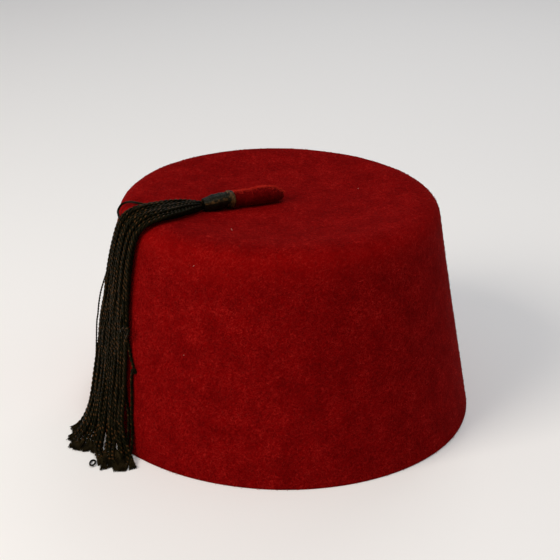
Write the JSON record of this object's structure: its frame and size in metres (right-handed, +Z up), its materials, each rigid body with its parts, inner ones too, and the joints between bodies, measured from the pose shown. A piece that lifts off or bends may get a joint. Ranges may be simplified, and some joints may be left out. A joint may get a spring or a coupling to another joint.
{
  "type": "fez",
  "caption": "Red felt fez, open below, with a sunken flat top, a rolled felt stem, a black thread binding and a long tassel of twisted black cords that falls over the edge to the ground",
  "frame": {"origin": "on the ground, under the middle of the whole fez's bounding box, tassel included", "axes": "+Z up through the open rim to the top, -X the way the stem points from the middle of the top to the tassel, the cap's own axis 9.4 mm beyond the origin along +X"},
  "size_m": [0.2092, 0.1896, 0.1135],
  "materials": {
    "felt": "matte blocked wool felt with a short nap, deep red",
    "stem_felt": "matte rolled wool felt, deep red",
    "winding": "satin thread wound close, near black",
    "cord": "soft sheen of twisted two-ply cord, brown black"
  },
  "bodies": {
    "root": {"crown": "felt", "stem": "stem_felt", "binding": "winding", "tassel": "cord"}
  },
  "joints": []
}
